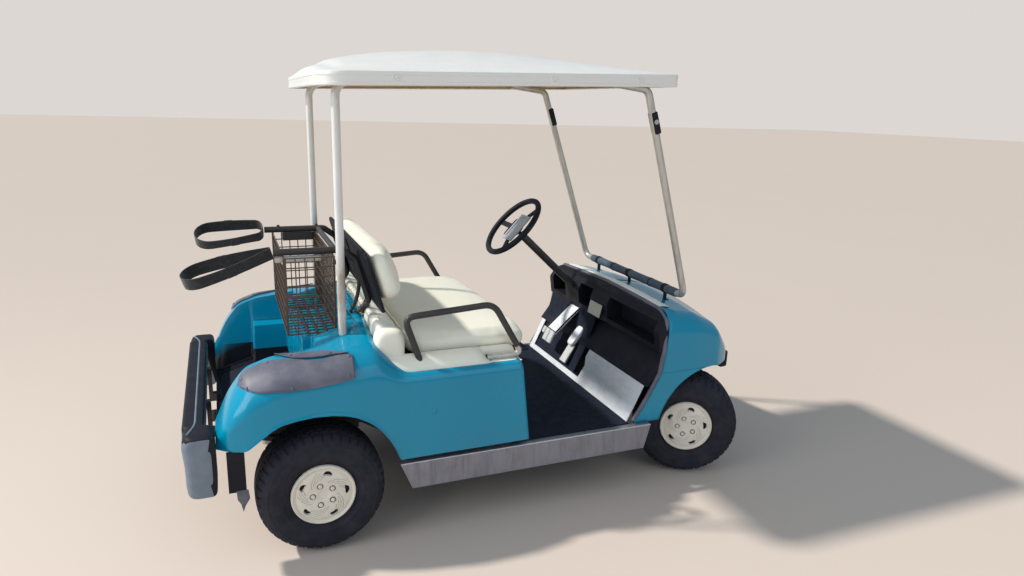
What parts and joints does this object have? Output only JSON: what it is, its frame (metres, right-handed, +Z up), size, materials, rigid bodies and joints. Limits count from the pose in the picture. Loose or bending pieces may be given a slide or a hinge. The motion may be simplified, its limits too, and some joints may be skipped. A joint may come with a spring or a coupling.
{
  "type": "golf cart",
  "caption": "Petrol golf cart with a bench seat, canopy, open bag well and steered front wheels that stand turned to the right.",
  "frame": {"origin": "on the ground, under the middle of the cart's length and width", "axes": "+X forward, +Y to the cart's left side, +Z up"},
  "size_m": [2.4298, 1.2444, 1.805],
  "materials": {
    "body_paint": "glossy moulded body, faded",
    "cream_vinyl": "cream seat vinyl",
    "canopy_shell": "cream moulded canopy",
    "tyre_rubber": "black treaded rubber",
    "wheel_steel": "painted steel",
    "cover_plastic": "warm white wheel cover",
    "frame_steel": "black chassis paint",
    "axle_iron": "dull iron with dirt",
    "guard_rubber": "weathered grey pad",
    "bumper_plastic": "slate grey moulding",
    "black_plastic": "matt black moulding",
    "floor_rubber": "dark mat",
    "sill_metal": "worn bare metal",
    "toe_metal": "worn bare metal",
    "white_tube": "white painted tube",
    "bare_tube": "weathered tube",
    "black_tube": "black painted tube",
    "basket_wire": "black wire with rust",
    "webbing": "black webbing",
    "placard_card": "blank card"
  },
  "bodies": {
    "frame": {"accelerator_pedal": "toe_metal", "armrests": "black_tube", "backrest_cushion": "cream_vinyl", "backrest_panel": "black_plastic", "bag_rack_frame": "black_tube", "bag_straps": "webbing", "bag_well_liner": "floor_rubber", "brake_pedal": "toe_metal", "chassis_frame": "frame_steel", "cowl_trim": "guard_rubber", "dash_placard": "placard_card", "dashboard": "black_plastic", "engine_block": "axle_iron", "fender_guards": "guard_rubber", "floor_outriggers": "frame_steel", "floor_pan": "floor_rubber", "front_axle": "axle_iron", "front_bulkhead": "black_plastic", "front_bumper": "black_plastic", "front_cowl": "body_paint", "front_leaf_springs": "frame_steel", "front_roof_frame": "bare_tube", "rear_axle": "axle_iron", "rear_body": "body_paint", "rear_bumper": "bumper_plastic", "rear_leaf_springs": "frame_steel", "rear_roof_posts": "white_tube", "rear_splash_guards": "black_plastic", "roof_canopy": "canopy_shell", "seat_deck": "black_plastic", "seat_hinges": "frame_steel", "seat_rear_shelf": "cream_vinyl", "sill_panels": "sill_metal", "steering_column": "black_tube", "toe_plate": "toe_metal", "windshield_clips": "black_plastic", "wire_basket": "basket_wire"},
    "knuckle_right": {"steering_knuckle_right": "axle_iron"},
    "knuckle_left": {"steering_knuckle_left": "axle_iron"},
    "linkage": {"tie_rod": "axle_iron"},
    "hand_wheel": {"steering_wheel": "black_plastic", "scorecard_holder": "black_plastic"},
    "seat": {"seat_cushion": "cream_vinyl", "seat_pan": "black_plastic"},
    "wheel_front_right": {"tyre_front_right": "tyre_rubber", "rim_front_right": "wheel_steel", "wheel_cover_front_right": "cover_plastic"},
    "wheel_front_left": {"tyre_front_left": "tyre_rubber", "rim_front_left": "wheel_steel", "wheel_cover_front_left": "cover_plastic"},
    "wheel_rear_right": {"tyre_rear_right": "tyre_rubber", "rim_rear_right": "wheel_steel", "wheel_cover_rear_right": "cover_plastic"},
    "wheel_rear_left": {"tyre_rear_left": "tyre_rubber", "rim_rear_left": "wheel_steel", "wheel_cover_rear_left": "cover_plastic"}
  },
  "joints": [
    {"name": "steer", "type": "hinge", "parent": "frame", "child": "knuckle_right", "pos_m": [0.925, -0.33, 0.229], "axis": [0, 0, 1], "range_deg": [-2, 58]},
    {"name": "steer_left", "type": "hinge", "parent": "frame", "child": "knuckle_left", "pos_m": [0.925, 0.33, 0.229], "axis": [0, 0, 1], "range_deg": [-2, 58]},
    {"name": "tie_rod_pivot", "type": "hinge", "parent": "knuckle_right", "child": "linkage", "pos_m": [0.82788, -0.27836, 0.19], "axis": [0, 0, 1], "range_deg": [-58, 2]},
    {"name": "steering_wheel_turn", "type": "hinge", "parent": "frame", "child": "hand_wheel", "pos_m": [0.29, 0.28, 1.021], "axis": [-0.7314, 0, 0.682], "range_deg": [-28, 812]},
    {"name": "spin_front_right", "type": "hinge", "parent": "knuckle_right", "child": "wheel_front_right", "pos_m": [0.86772, -0.43772, 0.229], "axis": [0.4695, 0.8829, 0], "continuous": true},
    {"name": "spin_front_left", "type": "hinge", "parent": "knuckle_left", "child": "wheel_front_left", "pos_m": [0.98228, 0.43772, 0.229], "axis": [0.4695, 0.8829, 0], "continuous": true},
    {"name": "spin_rear_right", "type": "hinge", "parent": "frame", "child": "wheel_rear_right", "pos_m": [-0.765, -0.482, 0.229], "axis": [0, 1, 0], "continuous": true},
    {"name": "spin_rear_left", "type": "hinge", "parent": "frame", "child": "wheel_rear_left", "pos_m": [-0.765, 0.482, 0.229], "axis": [0, 1, 0], "continuous": true},
    {"name": "seat_hinge", "type": "hinge", "parent": "frame", "child": "seat", "pos_m": [0.04, 0, 0.634], "axis": [0, 1, 0], "range_deg": [0, 60]}
  ],
  "couplings": [
    {"joint": "steer_left", "follows": "steer", "ratio": 1},
    {"joint": "tie_rod_pivot", "follows": "steer", "ratio": -1},
    {"joint": "steering_wheel_turn", "follows": "steer", "ratio": 14}
  ]
}
